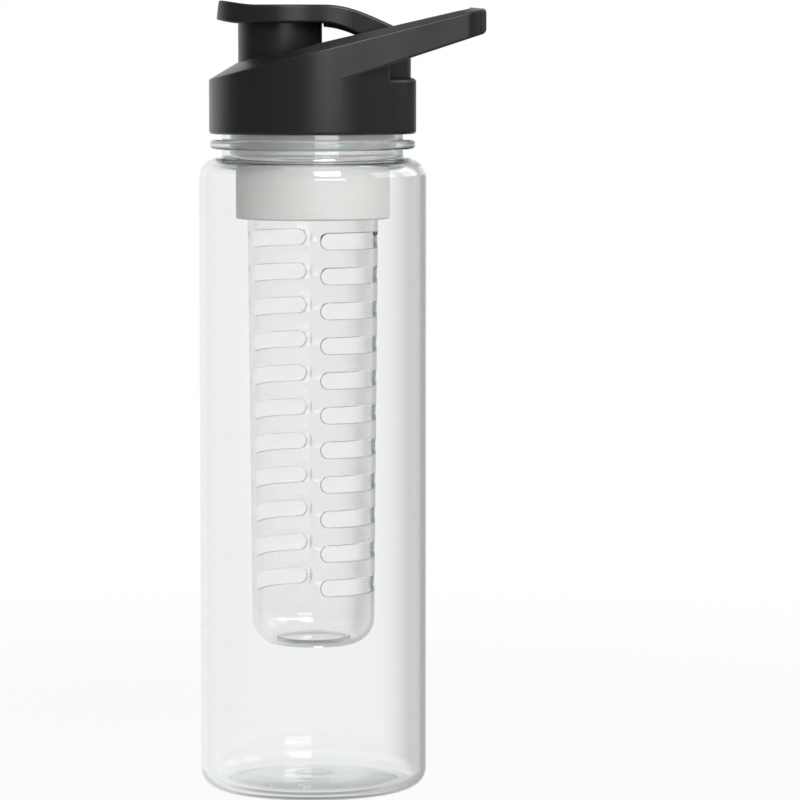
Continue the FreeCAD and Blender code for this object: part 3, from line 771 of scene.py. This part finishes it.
@dataclass
class SlottedBasket:
    """Clear infuser basket with a spigot and two columns of slots."""

    spigot_r: float = 23.0
    spigot_z: float = 189.1
    top_z: float = 204.1
    neck_z: float = 186.1
    top_r: float = 21.0
    end_r: float = 19.6
    end_z: float = 46.3
    end_round: float = 8.5
    wall: float = 1.6
    recess_r: float = 10.5
    recess_depth: float = 1.2
    edge_round: float = 0.3
    neck_round: float = 2.0
    rows: int = 11
    columns: int = 2
    first_row_z: float = 177.0
    row_pitch: float = 11.07
    slot_height: float = 5.1
    slot_start: float = -81.5
    slot_span: float = 89.0
    inner_lip: float = 0.6
    outer_lip: float = 0.35
    lip_reach: float = 2.0
    lip_lean: float = 12.0
    run_steps: int = 44
    end_steps: int = 16

    def profile(self) -> list[Corner]:
        """Lists the section's corners.

        Returns:
            Corners from the middle of the underside to the middle of the floor inside.
        """
        edge = self.edge_round
        wall = self.wall
        recess_z = self.end_z + self.recess_depth
        floor_z = self.end_z + wall
        return [
            Corner(0, recess_z),
            Corner(self.recess_r, recess_z, edge),
            Corner(self.recess_r, self.end_z, edge),
            Corner(self.end_r, self.end_z, self.end_round),
            Corner(self.top_r, self.neck_z, self.neck_round),
            Corner(self.spigot_r, self.spigot_z, edge),
            Corner(self.spigot_r, self.top_z, edge),
            Corner(self.spigot_r - wall, self.top_z, edge),
            Corner(self.spigot_r - wall, self.spigot_z, edge),
            Corner(self.top_r - wall, self.neck_z, self.neck_round),
            Corner(self.end_r - wall, floor_z, self.end_round - wall),
            Corner(self.recess_r + wall, floor_z, edge),
            Corner(self.recess_r + wall, recess_z + wall, edge),
            Corner(0, recess_z + wall),
        ]

    def slot(self) -> bmesh.types.BMesh:
        """Makes what one slot takes out of the wall, with rounded lips, about the level z = 0.

        Returns:
            A closed band with round ends, starting at angle 0.
        """
        half = self.slot_height / 2
        inside = self.top_r - self.wall
        lean = self.lip_reach * math.tan(math.radians(self.lip_lean))
        mesh = Lathe.wire([
            Corner(inside - lean, 0),
            Corner(inside - lean, half + self.lip_reach),
            Corner(inside, half, self.inner_lip),
            Corner(self.top_r, half, self.outer_lip),
            Corner(self.top_r + lean, half + self.lip_reach),
            Corner(self.top_r + lean, 0),
        ])
        end_angle = half / self.top_r
        run = math.radians(self.slot_span) - 2 * end_angle
        bmesh.ops.rotate(mesh, verts=mesh.verts, matrix=Matrix.Rotation(end_angle, 3, "Z"))
        near = Vector((math.cos(end_angle), math.sin(end_angle), 0))
        far = Matrix.Rotation(run, 3, "Z") @ near
        part = mesh.verts[:] + mesh.edges[:]
        for axis, angle, steps in (
            (near, math.pi, self.end_steps),
            (UP, run, self.run_steps),
            (far, math.pi, self.end_steps),
            (UP, -run, self.run_steps),
        ):
            swept = bmesh.ops.spin(mesh, geom=part, axis=axis, angle=angle, steps=steps)
            part = swept["geom_last"]
        bmesh.ops.remove_doubles(mesh, verts=mesh.verts, dist=WELD_DISTANCE)
        return mesh

    def slots(self) -> bpy.types.Object:
        """Makes what all the slots take out of the wall.

        Returns:
            One mesh with a band for every slot.
        """
        mesh = self.slot()
        first = mesh.faces[:] + mesh.edges[:] + mesh.verts[:]
        for column in range(self.columns):
            turn = math.radians(self.slot_start) + math.tau * column / self.columns
            for row in range(self.rows):
                copy = bmesh.ops.duplicate(mesh, geom=first)["geom"]
                verts = [part for part in copy if isinstance(part, bmesh.types.BMVert)]
                height = self.first_row_z - self.row_pitch * row
                fall = (self.neck_z - height) / (self.neck_z - self.end_z)
                share = 1 - fall * (1 - self.end_r / self.top_r)
                bmesh.ops.scale(mesh, verts=verts, vec=(share, share, 1))
                bmesh.ops.rotate(mesh, verts=verts, matrix=Matrix.Rotation(turn, 3, "Z"))
                bmesh.ops.translate(mesh, verts=verts, vec=(0, 0, height * MM))
        bmesh.ops.delete(mesh, geom=[part for part in first if isinstance(part, bmesh.types.BMVert)])
        return Lathe.finish(mesh, "basket_slots")

    def build(self) -> bpy.types.Object:
        """Makes the basket.

        Returns:
            The piece, before its finish.
        """
        piece = Lathe.finish(Lathe.turn(self.profile()), "clear_basket_wall")
        Lathe.carve(piece, self.slots(), Carving.CUT)
        Lathe.even_normals(piece)
        return piece

    def dress(self, piece: bpy.types.Object, finish: ClearPlastic) -> None:
        """Gives the basket its finish and puts it in place of its solid.

        Args:
            piece: The basket.
            finish: Its plastic.
        """
        piece.data.materials.clear()
        piece.data.materials.append(finish.material())
        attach(piece, Body.BASKET.value)
        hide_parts("infuser_basket")


@dataclass
class CapParts:
    """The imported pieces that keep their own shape: cap, lid, plug, collar, gaskets and pin."""

    cap: MouldedPlastic
    plug: MouldedPlastic
    collar: MouldedPlastic
    seal: MouldedPlastic
    pin: DrawnSteel

    def dress(self) -> None:
        """Gives every piece its finish."""
        cap = self.cap.material()
        seal = self.seal.material()
        finishes = {
            "cap_shell": cap,
            "flip_lid": cap,
            "lid_plug": self.plug.material(),
            "infuser_collar": self.collar.material(),
            "cap_gasket": seal,
            "collar_gasket": seal,
            "hinge_pin": self.pin.material(),
        }
        for name, material in finishes.items():
            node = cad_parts[name]
            node.data.materials.clear()
            node.data.materials.append(material)
            log.info("%s: %s", name, material.name)


@dataclass(frozen=True)
class Softbox:
    """A rectangular lamp that faces the bottle.

    Attributes:
        name: Name of the lamp.
        turn: Angle to the right of the camera's side.
        rise: Angle above the level.
        distance: Metres from the bottle.
        width: Metres.
        height: Metres.
        power: Watts.
    """

    name: str
    turn: float
    rise: float
    distance: float
    width: float
    height: float
    power: float

    def build(self, target: Vector) -> None:
        """Makes the lamp.

        Args:
            target: Point that it faces.
        """
        data = bpy.data.lights.new(self.name, "AREA")
        data.shape = "RECTANGLE"
        data.size = self.width
        data.size_y = self.height
        data.energy = self.power
        turn = math.radians(self.turn)
        rise = math.radians(self.rise)
        away = Vector((
            math.sin(turn) * math.cos(rise), -math.cos(turn) * math.cos(rise), math.sin(rise),
        ))
        lamp = bpy.data.objects.new(self.name, data)
        lamp.location = target + away * self.distance
        lamp.rotation_euler = away.to_track_quat("Z", "Y").to_euler()
        bpy.context.scene.collection.objects.link(lamp)


STUDIO_LAMPS = (
    Softbox("key_softbox", turn=18, rise=38, distance=1.1, width=0.45, height=0.45, power=5.6),
    Softbox("front_strip", turn=19, rise=6, distance=1.1, width=0.6, height=0.18, power=1.22),
    Softbox("left_softbox", turn=-112, rise=26, distance=0.9, width=0.3, height=0.8, power=0.1),
    Softbox("right_softbox", turn=82, rise=24, distance=0.9, width=0.4, height=0.4, power=0.85),
    Softbox("rear_softbox", turn=122, rise=22, distance=0.9, width=0.4, height=0.4, power=0.8),
    Softbox("top_softbox", turn=0, rise=86, distance=0.9, width=0.6, height=0.6, power=0.9),
)


@dataclass
class Studio:
    """Pale floor, white surroundings, softboxes and camera.

    A room value is how bright the surroundings are one way. A span is where a soft step along one
    axis of that way starts and ends.

    Attributes:
        floor_r: Radius of the floor.
        floor_drop: How far it lies below the bottle.
        floor_segments: Edges of its outline.
        floor_colour: Colour of its paint.
        floor_lift: Share of white that the camera sees beside the bottle.
        shadow_r: Distance at which that share starts to rise.
        clear_r: Distance from which the floor is white.
        fill: Brightness of the surroundings for light that is scattered.
        front_room: Front, in mirrors.
        right_room: Right, in mirrors.
        left_room: Left end of the backdrop, in mirrors.
        bench_room: Below, in mirrors.
        base_room: Share of light that comes through the floor under the bottle, a painted shadow in
            mirrors and glass.
        base_r: Radius of that part of the floor.
        base_edge: Share of base_r within which it is dimmed in full.
        screen_room: Grey screen, through clear walls.
        ceiling_room: Straight above and below, through clear walls.
        trapped_room: What light trapped in a clear wall sees.
        back_span: Backdrop, along Y.
        left_span: Left end of the backdrop, along X.
        left_back_span: The same, along Y.
        right_span: End of the backdrop on the right, along X.
        low_span: Top of the backdrop, along Z.
        screen_start: Near edge of the screen, along X.
        screen_end: Far edge of the screen, along X.
        screen_back_span: Front of the screen, along Y.
        ceiling_span: Ceiling, along Z.
        under_span: Dark below, along Z.
        bench_span: Bench below, along Z.
        dim_span: From the front's level to the right's, along X.
        target_z: Height that the lamps face.
        camera_place: Place of the camera.
        camera_tilt: How far it looks down.
        lens: Focal length in millimetres.
    """

    ROOM = "studio_room"

    floor_r: float = 0.8
    floor_drop: float = 0.0002
    floor_segments: int = 96
    floor_colour: Colour = (0.8, 0.8, 0.8)
    floor_lift: float = 0.9
    shadow_r: float = 0.12
    clear_r: float = 0.6
    fill: float = 0.35
    front_room: float = 0.07
    right_room: float = 0.05
    left_room: float = 0.8
    bench_room: float = 0.55
    base_room: float = 0.6
    base_r: float = 0.031
    base_edge: float = 0.8
    screen_room: float = 0.62
    ceiling_room: float = 0.42
    trapped_room: float = 0.7
    back_span: Span = (0.1, 0.7)
    left_span: Span = (-0.2, -0.8)
    left_back_span: Span = (0.2, 0.6)
    right_span: Span = (0.04, 0.5)
    low_span: Span = (0.75, 0.25)
    screen_start: Span = (0.02, 0.12)
    screen_end: Span = (0.75, 0.5)
    screen_back_span: Span = (0.0, 0.3)
    ceiling_span: Span = (0.25, 0.7)
    under_span: Span = (-0.55, -0.9)
    bench_span: Span = (-0.45, -0.8)
    dim_span: Span = (0.35, 0.8)
    target_z: float = 0.15
    camera_place: Place = (0.028, -1.392, 0.2342)
    camera_tilt: float = 4.48
    lens: float = 194.94

    def build_room(self) -> None:
        """Makes the group that says how bright the room is each way.

        A white backdrop runs from the back round to the left; the front and the right are darker,
        with a grey screen beside the backdrop's right edge and a grey ceiling.
        """
        group = EffectGroup(self.ROOM, {"Way": None}, ["Mirrored", "Refracted"])
        x, y, z = group.add("ShaderNodeSeparateXYZ", {0: group.given["Way"]}).outputs
        back = group.ease(y, *self.back_span)
        left = group.math(
            "MULTIPLY", group.ease(x, *self.left_span), group.ease(y, *self.left_back_span)
        )
        left = group.math("MULTIPLY", left, self.left_room)
        right = group.ease(x, *self.right_span)
        low = group.ease(z, *self.low_span)
        backdrop = group.math("MAXIMUM", left, group.math("SUBTRACT", back, right))
        backdrop = group.math("MULTIPLY", backdrop, low)
        screen = group.math(
            "MULTIPLY", group.ease(x, *self.screen_start), group.ease(x, *self.screen_end)
        )
        screen = group.math("MULTIPLY", screen, group.ease(y, *self.screen_back_span))
        ceiling = group.math(
            "MAXIMUM", group.ease(z, *self.ceiling_span), group.ease(z, *self.under_span)
        )
        beneath = group.math("MULTIPLY", group.ease(z, *self.bench_span), self.bench_room)
        dim = group.blend(group.ease(x, *self.dim_span), self.front_room, self.right_room)
        group.close(
            Mirrored=group.math("MAXIMUM", group.blend(backdrop, dim, 1.0), beneath),
            Refracted=group.math(
                "MINIMUM",
                group.blend(screen, 1.0, self.screen_room),
                group.blend(ceiling, 1.0, self.ceiling_room),
            ),
        )

    def build_floor(self) -> None:
        """Makes the floor, which is white to the camera but keeps a soft shadow.

        Mirrored and refracted light goes through it to the surroundings, dimmed under the bottle by a
        painted shadow.
        """
        mesh = bmesh.new()
        bmesh.ops.create_circle(
            mesh, cap_ends=True, radius=self.floor_r, segments=self.floor_segments
        )
        bmesh.ops.translate(mesh, verts=mesh.verts, vec=(0, 0, -self.floor_drop))
        floor = Lathe.finish(mesh, "studio_floor")
        made = bpy.data.materials.new("pale_floor")
        made.use_nodes = True
        bench = NodeBench(made.node_tree)
        spot = bench.add("ShaderNodeTexCoord").outputs["Object"]
        away = bench.add("ShaderNodeVectorMath", {0: spot}, operation="LENGTH").outputs["Value"]
        path = bench.add("ShaderNodeLightPath").outputs
        far = bench.ease(away, self.shadow_r, self.clear_r)
        lift = bench.math("MULTIPLY", path["Is Camera Ray"], bench.blend(far, self.floor_lift, 1.0))
        paint = bench.add("ShaderNodeBsdfDiffuse", {"Color": (*self.floor_colour, 1)})
        white = bench.add("ShaderNodeEmission", {"Color": WHITE, "Strength": 1.0})
        seen = bench.add("ShaderNodeMixShader", {0: lift, 1: paint.outputs[0], 2: white.outputs[0]})
        # Painted shadow under the bottle for mirrored and refracted light.
        beneath = bench.ease(away, self.base_r, self.base_r * self.base_edge)
        through = bench.add(
            "ShaderNodeBsdfTransparent", {"Color": bench.blend(beneath, 1.0, self.base_room)}
        )
        indirect = bench.math("MAXIMUM", path["Is Glossy Ray"], path["Is Transmission Ray"])
        mixed = bench.add("ShaderNodeMixShader", {
            0: indirect,
            1: seen.outputs[0],
            2: through.outputs[0],
        })
        bench.add("ShaderNodeOutputMaterial", {"Surface": mixed.outputs[0]})
        floor.data.materials.append(made)

    def build_world(self) -> None:
        """Makes the surroundings: white to the camera, the room in mirrors and glass, plain fill."""
        world = bpy.data.worlds.new("white_studio")
        world.use_nodes = True
        bench = NodeBench(world.node_tree)
        way = bench.add("ShaderNodeTexCoord").outputs["Generated"]
        room = bench.add("ShaderNodeGroup", {"Way": way}, node_tree=bpy.data.node_groups[self.ROOM])
        path = bench.add("ShaderNodeLightPath").outputs
        trapped = bench.math("GREATER_THAN", path["Glossy Depth"], TRAPPED_DEPTH)
        level = bench.blend(
            path["Is Transmission Ray"], room.outputs["Mirrored"], room.outputs["Refracted"]
        )
        level = bench.blend(trapped, level, self.trapped_room)
        level = bench.blend(path["Is Camera Ray"], level, 1.0)
        level = bench.blend(path["Is Diffuse Ray"], level, self.fill)
        shader = bench.add("ShaderNodeBackground", {"Color": WHITE, "Strength": level})
        bench.add("ShaderNodeOutputWorld", {"Surface": shader.outputs[0]})
        bpy.context.scene.world = world

    def build_lamps(self) -> None:
        """Makes the softboxes."""
        target = Vector((0, 0, self.target_z))
        for lamp in STUDIO_LAMPS:
            lamp.build(target)

    def build_camera(self) -> None:
        """Makes the camera."""
        data = bpy.data.cameras.new("camera")
        data.lens = self.lens
        camera = bpy.data.objects.new("camera", data)
        camera.location = self.camera_place
        camera.rotation_euler = (math.radians(90 - self.camera_tilt), 0, 0)
        bpy.context.scene.collection.objects.link(camera)
        bpy.context.scene.camera = camera
        bpy.context.scene.view_settings.view_transform = "Standard"

    def build(self) -> None:
        """Makes everything that isn't part of the bottle."""
        self.build_room()
        self.build_floor()
        self.build_world()
        self.build_lamps()
        self.build_camera()


CAP_BLACK = MouldedPlastic(
    name="black_polypropylene",
    colour=(0.0165, 0.0165, 0.0162),
    drift_colour=(0.0195, 0.0195, 0.019),
    # Painted highlight along edges, much lighter than the body.
    sheen_colour=(0.1, 0.099, 0.096),
    clean=0.32,
    handled=0.42,
    grain_size=0.35,
    grain_depth=0.008,
    # Full painted shade in recesses.
    recess_shade=1.0,
)
PLUG_BLACK = MouldedPlastic(
    name="smooth_black_polypropylene",
    colour=(0.012, 0.012, 0.012),
    drift_colour=(0.015, 0.015, 0.015),
    sheen_colour=(0.025, 0.025, 0.025),
    clean=0.3,
    handled=0.42,
    grain_size=0.5,
    grain_depth=0.004,
)
FROSTED_WHITE = MouldedPlastic(
    name="frosted_polypropylene",
    colour=(0.57, 0.558, 0.542),
    drift_colour=(0.605, 0.593, 0.577),
    sheen_colour=(0.65, 0.64, 0.625),
    clean=0.4,
    handled=0.5,
    grain_size=0.4,
    grain_depth=0.01,
    glow=0.5,
    glow_depth=2.0,
)
SEAL_SILICONE = MouldedPlastic(
    name="translucent_silicone",
    colour=(0.7, 0.7, 0.68),
    drift_colour=(0.75, 0.75, 0.73),
    sheen_colour=(0.8, 0.8, 0.79),
    clean=0.46,
    handled=0.58,
    grain_size=0.6,
    grain_depth=0.005,
    glow=0.6,
    glow_depth=1.5,
)
BOTTLE_CLEAR = ClearPlastic(name="clear_copolyester_bottle")
BASKET_CLEAR = ClearPlastic(
    name="clear_copolyester_basket",
    body_tint=(0.74, 0.735, 0.72),
    density=75.0,
)
PIN_STEEL = DrawnSteel(name="drawn_steel")


def main() -> None:
    """Builds the pieces, dresses them and sets up the studio."""
    logging.basicConfig(level=logging.INFO, format="%(name)s: %(message)s")
    SharedEffects()
    for piece, finish in ((BottleWall(), BOTTLE_CLEAR), (SlottedBasket(), BASKET_CLEAR)):
        made = piece.build()
        piece.dress(made, finish)
        log.info("%s: %d faces", made.name, len(made.data.polygons))
    CapParts(CAP_BLACK, PLUG_BLACK, FROSTED_WHITE, SEAL_SILICONE, PIN_STEEL).dress()
    Studio().build()


if __name__ == "__main__":
    main()
